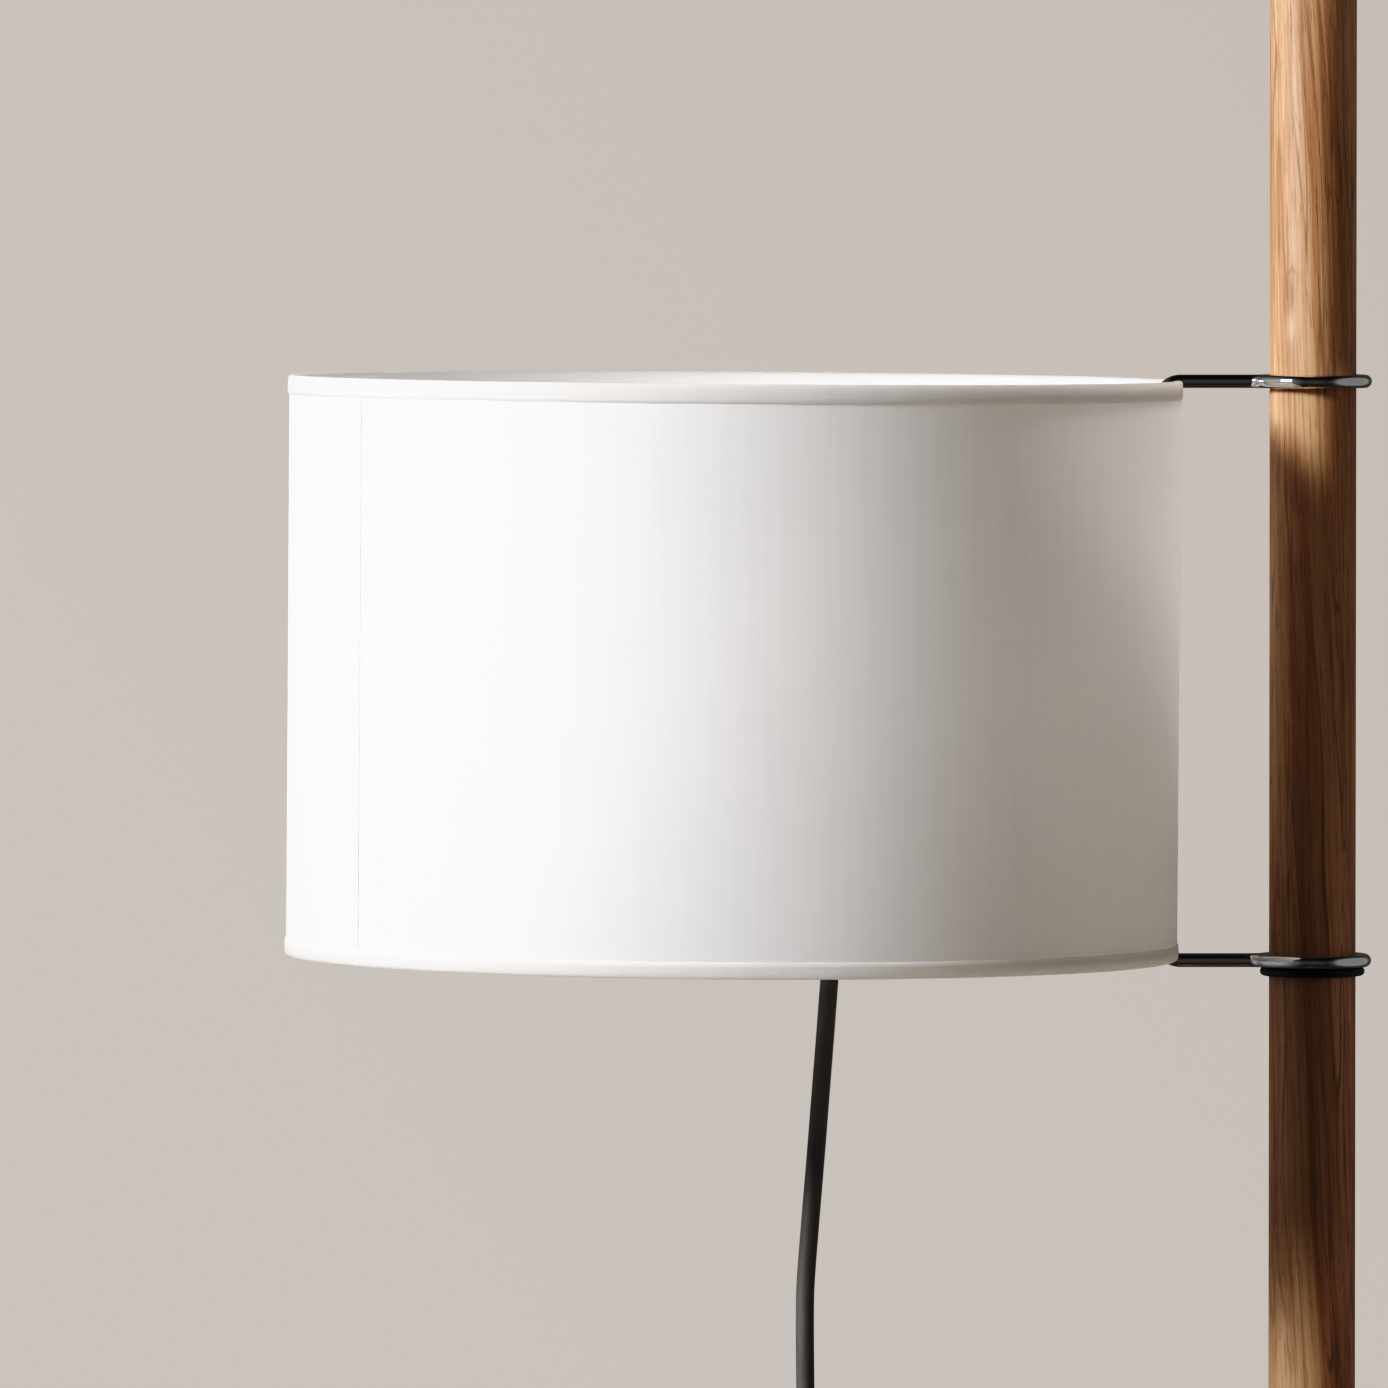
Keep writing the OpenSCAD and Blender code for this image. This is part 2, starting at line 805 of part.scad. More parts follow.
module cord_tail() { color(cord_black) tube(tail_points, cord_d); }

module cord_end() { color(cord_black) tube(end_points, cord_d); }

module coil_section(grow) {
    translate([coil_in - grow, -grow])
        square([coil_out - coil_in + 2 * grow, coil_h + 2 * grow]);
}

module cord_coil() { color(cord_black) translate(coil_at) rotate_extrude() coil_section(0); }

module coil_tie() {
    color(rubber) translate(coil_at) rotate([0, 0, tie_from])
        rotate_extrude(angle = tie_angle) difference() {
            coil_section(tie_t);
            coil_section(0);
        }
}

module at_plug(along) {
    translate(plug_at) rotate([0, 0, plug_turn]) rotate([0, 90, 0]) translate([0, 0, along])
        rotate([0, 0, 90]) children();
}

module plug_sleeve() {
    color(rubber) at_plug(plug_sleeve_l) mirror([0, 0, 1])
        sleeve(plug_sleeve_l, sleeve_r, sleeve_tip_r);
}

module plug_body() {
    waist = 10;
    color(rubber) at_plug(plug_sleeve_l) difference() {
        union() {
            plate(22, plug_h, waist, 5);
            translate([0, 0, waist]) plate(plug_w, plug_h, plug_l - waist, 5);
        }
        for (side = [-1, 1]) translate([side * pin_gap / 2, 0, plug_l - 12])
            cylinder(r = plug_pin_r + snug, h = 20);
    }
}

module plug_pins() {
    color(brass) at_plug(plug_sleeve_l + plug_l - 12) for (side = [-1, 1])
        translate([side * pin_gap / 2, 0, 0]) union() {
            cylinder(r = plug_pin_r, h = plug_pin_l + 12 - 1.5);
            translate([0, 0, plug_pin_l + 12 - 1.5])
                cylinder(r1 = plug_pin_r, r2 = plug_pin_r - 1, h = 1.5);
        }
}

mast();
mast_insert();
hub();
hub_bolt();
hub_washer();
leg_1();
leg_2();
leg_3();
leg_pins();
foot_1();
foot_2();
foot_3();
foot_screws();
stop_ring();
shade_frame();
ring_top();
ring_bottom();
shade_liner();
shade_fabric();
trim_top();
trim_bottom();
lamp_arm();
holder_washers();
holder_nut();
holder_nipple();
holder_cap();
holder_shell();
holder_insert();
holder_thread();
holder_contact();
cord_gland();
bulb_glass();
bulb_cap();
bulb_tip();
cord_upper();
cord_lower();
switch_base();
switch_cover();
switch_block();
switch_spring();
switch_sleeves();
switch_screws();
switch_button();
cord_tail();
cord_coil();
cord_end();
coil_tie();
plug_sleeve();
plug_body();
plug_pins();
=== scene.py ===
"""Floor lamp: a drum shade on a chromed wire frame that rides on a round wooden mast."""

import math

import bmesh
import bpy
from mathutils import Matrix, Vector, noise


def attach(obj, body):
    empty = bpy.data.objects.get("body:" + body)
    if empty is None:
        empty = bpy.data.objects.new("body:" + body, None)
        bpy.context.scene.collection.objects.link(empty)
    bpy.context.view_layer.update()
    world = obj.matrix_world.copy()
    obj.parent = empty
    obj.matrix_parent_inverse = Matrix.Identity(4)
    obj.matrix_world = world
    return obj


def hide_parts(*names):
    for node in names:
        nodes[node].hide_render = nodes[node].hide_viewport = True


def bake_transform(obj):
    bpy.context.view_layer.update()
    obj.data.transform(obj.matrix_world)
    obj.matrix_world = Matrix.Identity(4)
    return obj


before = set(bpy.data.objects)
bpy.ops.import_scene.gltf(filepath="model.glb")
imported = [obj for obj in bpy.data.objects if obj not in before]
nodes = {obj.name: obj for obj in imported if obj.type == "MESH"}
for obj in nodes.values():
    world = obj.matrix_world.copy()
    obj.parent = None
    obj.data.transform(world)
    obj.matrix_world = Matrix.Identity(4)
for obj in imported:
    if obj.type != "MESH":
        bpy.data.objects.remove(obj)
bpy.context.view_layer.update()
scene = bpy.context.scene
MM = 0.001

# Sizes of part.scad, in millimetres
MAST_R, MAST_TOP, SOCKET_Z = 17, 1660, 147
FRAME_Z, FRAME_H, WIRE_R = 1160, 227.5, 2.6
FRAME_TOP = FRAME_Z + FRAME_H
SHADE_R, SHADE_H, SHADE_GAP, TILT = 175, 226.5, 52, 0.4
DRUM_X = -SHADE_GAP - SHADE_R
HANG_X = 28 + DRUM_X
CORD_R = 3.6
LEG_SLOPE = 26


# ------------------------------------------------------------------ camera

camera = bpy.data.objects.new("Camera", bpy.data.cameras.new("Camera"))
scene.collection.objects.link(camera)
scene.camera = camera
camera.data.sensor_width = 36
camera.data.lens = 408.3
camera.data.clip_start, camera.data.clip_end = 0.1, 100
camera.location = (-0.243, -6.18, 1.478)
camera.rotation_euler = (math.radians(90 - 1.98), 0, 0)


# ------------------------------------------------------------------ geometry helpers


def link(name, mesh):
    piece = bpy.data.objects.new(name, mesh)
    scene.collection.objects.link(piece)
    return piece


def grid_mesh(name, rows, close_columns=False, skip=None, uv=None):
    """A mesh of quads through rows of points, in millimetres."""
    height, width = len(rows), len(rows[0])
    points = [tuple(c * MM for c in p) for row in rows for p in row]
    faces, corners = [], []
    for i in range(height - 1):
        for k in range(width if close_columns else width - 1):
            if skip and skip(i, k):
                continue
            a, b = i + 1, (k + 1) % width
            faces.append((i * width + k, i * width + b, a * width + b, a * width + k))
            if uv:
                corners += [uv(i, k), uv(i, k + 1), uv(i + 1, k + 1), uv(i + 1, k)]
    mesh = bpy.data.meshes.new(name)
    mesh.from_pydata(points, [], faces)
    mesh.polygons.foreach_set("use_smooth", [True] * len(faces))
    if uv:
        layer = mesh.uv_layers.new(name="UVMap")
        layer.data.foreach_set("uv", [c for pair in corners for c in pair])
    mesh.update()
    return mesh


def tidy(mesh):
    """Drops loose points and turns every face outwards."""
    work = bmesh.new()
    work.from_mesh(mesh)
    loose = [v for v in work.verts if not v.link_faces]
    bmesh.ops.delete(work, geom=loose, context="VERTS")
    bmesh.ops.recalc_face_normals(work, faces=work.faces)
    work.to_mesh(mesh)
    work.free()
    return mesh


def lathe(name, profile, sides):
    """A piece turned about the mast's axis: profile is (radius, height) pairs, in millimetres."""
    turns = [math.tau * k / sides for k in range(sides)]
    rows = [[(r * math.cos(t), r * math.sin(t), z) for t in turns] for r, z in profile]
    return tidy(grid_mesh(name, rows, close_columns=True))


def smooth_path(points, step, ends=None):
    """A Catmull-Rom curve through points, in pieces about step long."""
    p = [Vector(q) for q in points]
    first = ends[0] if ends else p[0] * 2 - p[1]
    last = ends[1] if ends else p[-1] * 2 - p[-2]
    p = [Vector(first)] + p + [Vector(last)]
    line = []
    for i in range(1, len(p) - 2):
        a, b, c, d = p[i - 1], p[i], p[i + 1], p[i + 2]
        n = max(1, round((c - b).length / step))
        for k in range(n):
            t = k / n
            line.append(
                0.5
                * (
                    2 * b
                    + (c - a) * t
                    + (2 * a - 5 * b + 4 * c - d) * t * t
                    + (3 * b - a - 3 * c + d) * t**3
                )
            )
    return line + [p[-2]]


def sweep(name, path, radius, sides, caps=True):
    """A round tube along path, with the frame carried along so that it doesn't twist."""
    if caps:
        # A ring just inside each end keeps the shading of the tube straight up to its cap.
        inner = path[0].lerp(path[1], 0.04), path[-1].lerp(path[-2], 0.04)
        path = [path[0], inner[0], *path[1:-1], inner[1], path[-1]]
    n = len(path)
    ways = [(path[min(i + 1, n - 1)] - path[max(i - 1, 0)]).normalized() for i in range(n)]
    turns = [math.tau * k / sides for k in range(sides)]
    u = ways[0].orthogonal().normalized()
    rows, lengths = [], [0.0]
    for i, way in enumerate(ways):
        if i:
            u = ways[i - 1].rotation_difference(way) @ u
            u = (u - way * u.dot(way)).normalized()
            lengths.append(lengths[-1] + (path[i] - path[i - 1]).length)
        v = way.cross(u)
        rows.append([path[i] + radius * (math.cos(t) * u + math.sin(t) * v) for t in turns])
    mesh = grid_mesh(
        name,
        rows,
        close_columns=True,
        uv=lambda i, k: (math.tau * CORD_R * k / sides * MM, lengths[i] * MM),
    )
    if caps:
        work = bmesh.new()
        work.from_mesh(mesh)
        work.verts.ensure_lookup_table()
        last = (n - 1) * sides
        work.faces.new([work.verts[k] for k in range(sides)])
        work.faces.new([work.verts[last + k] for k in range(sides)])
        bmesh.ops.recalc_face_normals(work, faces=work.faces)
        work.to_mesh(mesh)
        work.free()
    return mesh


def arc(centre, radius, start, end, plane, steps):
    """Points of an arc in degrees. plane is the two axes that 0 and 90 degrees point along."""
    u, v = Vector(plane[0]), Vector(plane[1])
    c = Vector(centre)
    turns = [math.radians(start + (end - start) * k / steps) for k in range(steps + 1)]
    return [c + radius * (math.cos(a) * u + math.sin(a) * v) for a in turns]


# ------------------------------------------------------------------ material helpers


class Net:
    """The node tree of a material or of the world, built by short calls."""

    def __init__(self, owner):
        self.owner = owner
        owner.use_nodes = True
        self.tree = owner.node_tree
        self.tree.nodes.clear()

    def add(self, kind, inputs=None, **settings):
        node = self.tree.nodes.new("ShaderNode" + kind)
        for key, value in settings.items():
            setattr(node, key, value)
        for key, value in (inputs or {}).items():
            if isinstance(value, bpy.types.NodeSocket):
                self.tree.links.new(value, node.inputs[key])
            else:
                node.inputs[key].default_value = value
        return node

    def place(self, rotation=(0, 0, 0), uv=False):
        source = self.add("TexCoord").outputs["UV" if uv else "Object"]
        return self.add("Mapping", {"Vector": source, "Rotation": rotation}).outputs[0]

    def scaled(self, vector, *scale):
        return self.add("Mapping", {"Vector": vector, "Scale": scale}).outputs[0]

    def split(self, vector):
        return self.add("SeparateXYZ", {0: vector}).outputs

    def noise(self, vector, scale, detail=2.0, roughness=0.5, distortion=0.0):
        return self.add(
            "TexNoise",
            {
                "Vector": vector,
                "Scale": scale,
                "Detail": detail,
                "Roughness": roughness,
                "Distortion": distortion,
            },
        ).outputs["Fac"]

    def math(self, operation, a, b=0.0, c=0.0, clamp=False):
        node = self.add("Math", {0: a, 1: b, 2: c}, operation=operation, use_clamp=clamp)
        return node.outputs[0]

    def ramp(self, value, stops):
        node = self.add("ValToRGB", {0: value})
        line = node.color_ramp
        while len(line.elements) < len(stops):
            line.elements.new(0.5)
        for element, (at, colour) in zip(line.elements, stops):
            element.position = at
            if not hasattr(colour, "__len__"):
                colour = (colour,) * 3
            element.color = (*colour, 1)
        return node.outputs[0]

    def mix(self, factor, a, b, blend="MIX"):
        node = self.add("Mix", data_type="RGBA", blend_type=blend)
        for socket, value in ((node.inputs[0], factor), (node.inputs[6], a), (node.inputs[7], b)):
            if isinstance(value, bpy.types.NodeSocket):
                self.tree.links.new(value, socket)
            elif hasattr(value, "__len__"):
                socket.default_value = (*value, 1)
            else:
                socket.default_value = value
        return node.outputs[2]

    def bump(self, height, strength, distance=0.0002):
        inputs = {"Height": height, "Strength": strength, "Distance": distance}
        return self.add("Bump", inputs).outputs[0]

    def surface(self, colour, roughness, normal=None, **more):
        inputs = {"Base Color": colour, "Roughness": roughness}
        if not isinstance(colour, bpy.types.NodeSocket):
            inputs["Base Color"] = (*colour, 1)
        if normal:
            inputs["Normal"] = normal
        inputs.update({k.replace("_", " "): v for k, v in more.items()})
        return self.add("BsdfPrincipled", inputs)

    def done(self, shader):
        self.add("OutputMaterial", {"Surface": shader.outputs[0]})
        return self.owner


def new_net(name):
    return Net(bpy.data.materials.new(name))


def paint(piece, material):
    piece.data.materials.clear()
    piece.data.materials.append(material)


# ------------------------------------------------------------------ materials


def wood(name, azimuth=0.0, slope=0.0, location=(0, 0, 0), knot=None):
    """Oiled wood: growth bands, fibres and pores along Z, or along a leg at azimuth and slope.

    knot is a point of the surface, in metres, and the level direction along the surface there.
    """
    n = new_net(name)
    place = n.place(rotation=(0, 0, -math.radians(azimuth)))
    place = n.add(
        "Mapping",
        {"Vector": place, "Rotation": (0, -math.radians(slope), 0), "Location": location},
    ).outputs[0]

    def noise_of(vector, across, along, *more):
        return n.noise(n.scaled(vector, across, across, along), 1.0, *more)

    split = n.split(place)
    warp = n.math("MULTIPLY_ADD", noise_of(place, 26, 4.5, 2), 0.012, -0.006)
    twist = n.math("MULTIPLY_ADD", split["Z"], 0.05, warp)
    across = n.math("ADD", split["X"], twist)
    grain = n.add("CombineXYZ", {"X": across, "Y": split["Y"], "Z": split["Z"]}).outputs[0]
    band = noise_of(grain, 95, 1.6, 3, 0.55)
    streak = noise_of(grain, 330, 4, 4, 0.6, 0.3)
    fibre = noise_of(grain, 1150, 20, 3, 0.6)
    pore = noise_of(grain, 1500, 75, 2, 0.6)
    vein = n.math("SUBTRACT", noise_of(grain, 150, 2.6, 2, 0.5, 0.2), 0.5)
    vein = n.ramp(n.math("ABSOLUTE", vein), [(0.005, 1.0), (0.026, 0.0)])
    vein = n.math("MULTIPLY", vein, n.ramp(streak, [(0.35, 0.15), (0.6, 1.0)]))
    tone = n.math("MULTIPLY_ADD", band, 0.46, n.math("MULTIPLY", streak, 0.34))
    tone = n.math("MULTIPLY_ADD", fibre, 0.2, tone)
    colour = n.ramp(
        tone,
        [
            (0.36, (0.33, 0.145, 0.068)),
            (0.46, (0.495, 0.278, 0.148)),
            (0.54, (0.625, 0.39, 0.228)),
            (0.66, (0.73, 0.52, 0.35)),
        ],
    )
    open_pore = n.ramp(pore, [(0.3, 1.0), (0.44, 0.0)])
    colour = n.mix(n.math("MULTIPLY", open_pore, 0.42), colour, (0.16, 0.062, 0.026))
    colour = n.mix(n.math("MULTIPLY", vein, 0.66), colour, (0.13, 0.048, 0.02))
    if knot:
        colour = with_knot(n, colour, place, warp, *knot)
    dents = n.math("MULTIPLY_ADD", open_pore, -0.7, n.math("MULTIPLY", fibre, 0.5))
    rough = n.math("MULTIPLY_ADD", fibre, 0.14, 0.36)
    normal = n.bump(dents, 0.3, 0.0004)
    return n.done(n.surface(colour, rough, normal, Specular_IOR_Level=0.5))


def with_knot(n, colour, place, warp, at, side):
    """Adds a small knot: a folded dark line, a dark core below it and pale wood around them."""
    away = n.add("VectorMath", {0: place, 1: at}, operation="SUBTRACT").outputs[0]
    distance = n.add("VectorMath", {0: away}, operation="LENGTH").outputs["Value"]
    front = n.math("LESS_THAN", distance, 0.04)
    along = n.split(away)["Z"]
    across = n.add("VectorMath", {0: away, 1: side}, operation="DOT_PRODUCT").outputs["Value"]

    def fade(value):
        return n.math("POWER", 0.37, value)

    def patch(wide, tall, up=0.0, right=0.0):
        u = n.math("MULTIPLY_ADD", across, 1 / wide, -right / wide)
        v = n.math("MULTIPLY_ADD", along, 1 / tall, -up / tall)
        square = n.math("MULTIPLY_ADD", u, u, n.math("MULTIPLY", v, v))
        return n.math("MULTIPLY", fade(square), front)

    fold = n.math("MULTIPLY_ADD", along, 0.75, n.math("ABSOLUTE", across))
    line = n.math("MULTIPLY_ADD", n.math("ADD", fold, warp), 1300.0, 0.9)
    line = fade(n.math("MULTIPLY", line, line))
    line = n.math("MULTIPLY", line, patch(0.0028, 0.0036, -0.0016, -0.001))
    for mark, strength, tint in (
        (line, 0.9, (0.27, 0.12, 0.055)),
        (patch(0.0007, 0.0055, -0.0125), 0.85, (0.27, 0.12, 0.055)),
        (patch(0.0016, 0.005, -0.0245, -0.0004), 0.55, (0.72, 0.53, 0.36)),
        (patch(0.0024, 0.009, 0.007, 0.0006), 0.4, (0.68, 0.47, 0.3)),
    ):
        colour = n.mix(n.math("MULTIPLY", mark, strength), colour, tint)
    return colour


def metal(name, colour, roughness, scratch):
    """Plated or plain metal with fine scratches and a slightly uneven polish."""
    n = new_net(name)
    fine = n.noise(n.scaled(n.place(), 900, 900, 900), 1.0, 4, 0.6)
    large = n.noise(n.place(), 35.0, 3)
    polish = n.math("MULTIPLY_ADD", large, scratch, roughness - scratch)
    rough = n.math("ADD", n.math("MULTIPLY", fine, scratch), polish)
    return n.done(n.surface(colour, rough, n.bump(large, 0.06), Metallic=1.0))


def matt(name, colour, roughness, grain, bump, worn=0.25, **more):
    """Rubber, moulded plastic or ceramic: fine grain in the surface and uneven gloss."""
    n = new_net(name)
    fine = n.noise(n.place(), grain, 4, 0.6)
    large = n.noise(n.place(), 28.0, 3)
    lighter = tuple(min(1.0, c * (1 + worn) + 0.004) for c in colour)
    shade = n.mix(n.ramp(large, [(0.35, 0.0), (0.65, 1.0)]), colour, lighter)
    rough = n.math("MULTIPLY_ADD", large, 0.16, roughness - 0.08)
    return n.done(n.surface(shade, rough, n.bump(fine, bump), **more))


def shade_cloth(name, colour, through, glow, weave=0.00055):
    """White cloth on a stiff liner: a plain weave with slubs, through which light glows."""
    n = new_net(name)
    place = n.place(uv=True)
    split = n.split(place)
    wobble = n.math("MULTIPLY_ADD", n.noise(n.scaled(place, 300, 300, 1), 1.0, 2), 1.6, -0.8)
    warp, weft = (
        n.math("SINE", n.math("MULTIPLY_ADD", split[way], math.tau / weave, wobble))
        for way in ("X", "Y")
    )
    threads = n.math("MULTIPLY_ADD", n.math("MULTIPLY", warp, weft), 0.5, 0.5)
    slub = n.noise(n.scaled(place, 420, 9, 1), 1.0, 4, 0.6)
    cross = n.noise(n.scaled(place, 14, 900, 1), 1.0, 3, 0.6)
    cloud = n.noise(n.scaled(place, 14, 14, 1), 1.0, 2)
    tone = n.math("MULTIPLY_ADD", cross, 0.25, n.math("MULTIPLY", cloud, 0.2))
    tone = n.math("ADD", n.math("MULTIPLY", slub, 0.55), tone)
    darker = tuple(c * 0.965 for c in colour)
    shade = n.mix(n.ramp(tone, [(0.35, 0.0), (0.62, 1.0)]), darker, colour)
    height = n.math("MULTIPLY_ADD", slub, 0.9, n.math("MULTIPLY", cross, 0.4))
    height = n.math("ADD", n.math("MULTIPLY", threads, 0.5), height)
    normal = n.bump(height, 0.16)
    sheen = {"Sheen_Weight": 0.06, "Sheen_Roughness": 0.5}
    body = n.surface(shade, 0.82, normal, Specular_IOR_Level=0.25, **sheen)
    inside = n.mix(1.0, shade, through, "MULTIPLY")
    behind = n.add("BsdfTranslucent", {"Color": inside, "Normal": normal})
    return n.done(n.add("MixShader", {0: glow, 1: body.outputs[0], 2: behind.outputs[0]}))


def cord_sheath(name):
    """A smooth black sheath with faint rings and scuffs."""
    n = new_net(name)
    place = n.place(uv=True)
    ribs = n.noise(n.scaled(place, 500, 60, 1), 1.0, 3)
    scuff = n.noise(n.scaled(place, 160, 40, 1), 1.0, 4, 0.6)
    worn = n.ramp(scuff, [(0.35, 0.0), (0.7, 1.0)])
    shade = n.mix(worn, (0.088, 0.082, 0.08), (0.112, 0.105, 0.102))
    rough = n.math("MULTIPLY_ADD", scuff, 0.2, 0.38)
    return n.done(n.surface(shade, rough, n.bump(ribs, 0.12)))


WOOD = wood("Mast wood", knot=((-0.0088, -0.0145, 1.4329), (0.853, -0.518, 0)))
HUB_WOOD = wood("Hub wood", location=(0.31, 0.12, 0))
CHROME = metal("Chrome", (0.8, 0.8, 0.81), 0.06, 0.03)
ZINC = metal("Zinc plate", (0.58, 0.59, 0.61), 0.3, 0.12)
BRASS = metal("Brass", (0.78, 0.6, 0.3), 0.22, 0.1)
RUBBER = matt("Rubber", (0.012, 0.012, 0.013), 0.42, 1400.0, 0.12)
PLASTIC = matt("Black plastic", (0.022, 0.022, 0.024), 0.36, 1800.0, 0.2)
CERAMIC = matt("Glazed porcelain", (0.82, 0.79, 0.73), 0.2, 400.0, 0.05, 0.04, Coat_Weight=0.5)
GLAZE = {"Coat_Weight": 0.6, "Coat_Roughness": 0.08}
OPAL = matt("Opal glass", (0.88, 0.87, 0.85), 0.16, 300.0, 0.01, 0.02, **GLAZE)
CLOTH = shade_cloth("Shade cloth", (0.9, 0.9, 0.91), (1.0, 0.985, 0.955), 0.37)
TAPE = shade_cloth("Rim tape", (0.975, 0.965, 0.955), (1.0, 0.985, 0.965), 0.62, 0.0007)
LINER = shade_cloth("Styrene liner", (0.92, 0.915, 0.91), (1.0, 0.985, 0.96), 0.46, 0.002)
CORD = cord_sheath("Cord sheath")


# ------------------------------------------------------------------ cords

hang = [
    (29.5, 53), (33.7, 47), (36.8, 40.4), (38.7, 33.3), (39.3, 26), (39, 14), (38.1, 3),
    (37.2, -8), (35.4, -32), (33.6, -55), (31.8, -78), (29.9, -101), (28.4, -120),
    (27.7, -132), (27.6, -148), (27.8, -170), (28, -200), (28, -240), (28, -280),
    (28, -320), (28, -360), (28, -400), (28, -440),
]  # fmt: skip
upper = smooth_path([(x + DRUM_X, 0, z + FRAME_Z) for x, z in hang], 5)

# Where the foot switch lies, and which way the cord passes through it
SWITCH = Vector((HANG_X - 48, 127, 0))
TURN = math.atan2(56, -22)


def in_switch(d):
    """The cord's point at distance d beyond the middle of the foot switch."""
    return SWITCH + Vector((d * math.cos(TURN), d * math.sin(TURN), 8))


drop = [(0, 0, z) for z in range(720, 79, -40)] + [
    (0, 0, 50), (-1, 3, 33), (-5, 12, 18), (-10, 26, 8), (-15, 41, 4), (-21, 58, 5),
]  # fmt: skip
lower = smooth_path(
    [(x + HANG_X, y, z) for x, y, z in drop] + [in_switch(-60), in_switch(-31)], 5
)

tail = [
    (-76, 198, 5), (-84, 211, 4), (-97, 223, 4), (-114, 229, 4), (-132, 228, 4),
    (-149, 220, 4), (-162, 207, 4), (-170, 190, 4), (-175, 170, 4), (-176, 150, 4.5),
    (-176.2, 131, 4.7),
]  # fmt: skip
# The coil's middle, and each turn's radius and height
COIL = Vector((HANG_X - 129, 120, 0))
LEVELS = [(47.2, 4.7), (40, 4.7), (32.8, 4.7), (36.4, 11.1), (43.6, 11.1)]
TURN_STEPS = 48


def ease(t):
    t = min(1.0, max(0.0, t))
    return t * t * (3 - 2 * t)


# In its second half each turn first rises to the next turn's height, then takes its radius.
coil = []
for i in range(len(LEVELS) * TURN_STEPS):
    turn, part = divmod(i / TURN_STEPS, 1)
    r, z = LEVELS[int(turn)]
    r_next, z_next = LEVELS[min(int(turn) + 1, len(LEVELS) - 1)]
    r += (r_next - r) * ease((part - 0.84) / 0.16)
    z += (z_next - z) * ease((part - 0.5) / 0.34)
    angle = math.pi + math.tau * i / TURN_STEPS
    coil.append(COIL + Vector((r * math.cos(angle), r * math.sin(angle), z)))
end = [
    (-172.8, 118, 11), (-174, 104, 10.8), (-175, 92, 10.4), (-175.2, 76, 9.4), (-175, 60, 8),
    (-172, 44, 7.1), (-167, 29, 7),
]  # fmt: skip
PLUG = Vector((HANG_X - 167, 29, 7))
plug_way = Vector((5, -15, 0)).normalized()
to_coil = smooth_path(
    [in_switch(31), in_switch(60)] + [(x + HANG_X, y, z) for x, y, z in tail],
    5,
    (in_switch(20), coil[0]),
)
from_coil = smooth_path(
    [(x + HANG_X, y, z) for x, y, z in end] + [PLUG + plug_way * 20],
    5,
    (coil[-1], PLUG + plug_way * 30),
)
to_plug = to_coil + coil + from_coil

cord_upper = link("hanging_cord", sweep("hanging_cord", upper, CORD_R, 20))
cord_lower = link("standing_cord", sweep("standing_cord", lower, CORD_R, 16))
cord_plug = link("plug_cord", sweep("plug_cord", to_plug, CORD_R, 14))
for piece in (cord_upper, cord_lower, cord_plug):
    paint(piece, CORD)
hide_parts("cord_upper")
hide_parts("cord_lower")
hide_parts("cord_tail", "cord_coil", "cord_end")
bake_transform(cord_upper)
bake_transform(cord_lower)
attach(cord_plug, "stand")


# ------------------------------------------------------------------ mast

EDGE_R = 3
edge = [
    (MAST_R - EDGE_R + EDGE_R * math.sin(a), MAST_TOP - EDGE_R + EDGE_R * math.cos(a))
    for a in [math.radians(d) for d in range(90, -1, -15)]
]
profile = [(0.01, SOCKET_Z), (MAST_R, SOCKET_Z)]
profile += [(MAST_R, z) for z in range(SOCKET_Z + 13, MAST_TOP - EDGE_R, 40)]
profile += edge + [(6, MAST_TOP), (0.01, MAST_TOP)]
mast = link("turned_mast", lathe("turned_mast", profile, 160))
paint(mast, WOOD)
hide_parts("mast")
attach(mast, "stand")


# ------------------------------------------------------------------ wire frame

X, Y, Z = Vector((1, 0, 0)), Vector((0, 1, 0)), Vector((0, 0, 1))
ARM_Y, LOOP_R, FLARE_R, BEND_R = 2.625, 20.5, 6.5, 8
WIRE_DROP = 0.3  # how much lower the wires lie than the CAD's


def straight(a, b, step=6):
    a, b = Vector(a), Vector(b)
    n = max(1, round((b - a).length / step))
    return [a + (b - a) * k / n for k in range(n + 1)]


def half_loop(z):
    """From the loop's far point round one side of the mast, and by a reverse bend into the arm."""
    turn = math.asin((ARM_Y + FLARE_R) / (LOOP_R + FLARE_R))
    flare_x = -(LOOP_R + FLARE_R) * math.cos(turn)
    turn = math.degrees(turn)
    z -= WIRE_DROP
    return (
        arc((0, 0, z), LOOP_R, 0, 180 - turn, (X, Y), 56)
        + arc((flare_x, ARM_Y + FLARE_R, z), FLARE_R, -turn, -90, (X, Y), 16)[1:]
        + straight((flare_x, ARM_Y, z), (-SHADE_GAP, ARM_Y, z))[1:]
    )


riser_x = -SHADE_GAP - BEND_R
riser_top = FRAME_TOP - BEND_R - WIRE_DROP
riser_bottom = FRAME_Z + BEND_R - WIRE_DROP
half = (
    half_loop(FRAME_TOP)
    + arc((-SHADE_GAP, ARM_Y, riser_top), BEND_R, 90, 180, (X, Z), 12)[1:]
    + straight((riser_x, ARM_Y, riser_top), (riser_x, ARM_Y, riser_bottom), 20)[1:]
    + arc((-SHADE_GAP, ARM_Y, riser_bottom), BEND_R, 180, 270, (X, Z), 12)[1:]
    + half_loop(FRAME_Z)[::-1][1:]
)
other = [Vector((p.x, -p.y, p.z)) for p in half[::-1]]
for name, line in (("frame_wire_back", half), ("frame_wire_front", other)):
    piece = link(name, sweep(name, line, WIRE_R, 32, caps=False))
    paint(piece, CHROME)
    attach(piece, "shade")
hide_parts("shade_frame")


# ------------------------------------------------------------------ shade

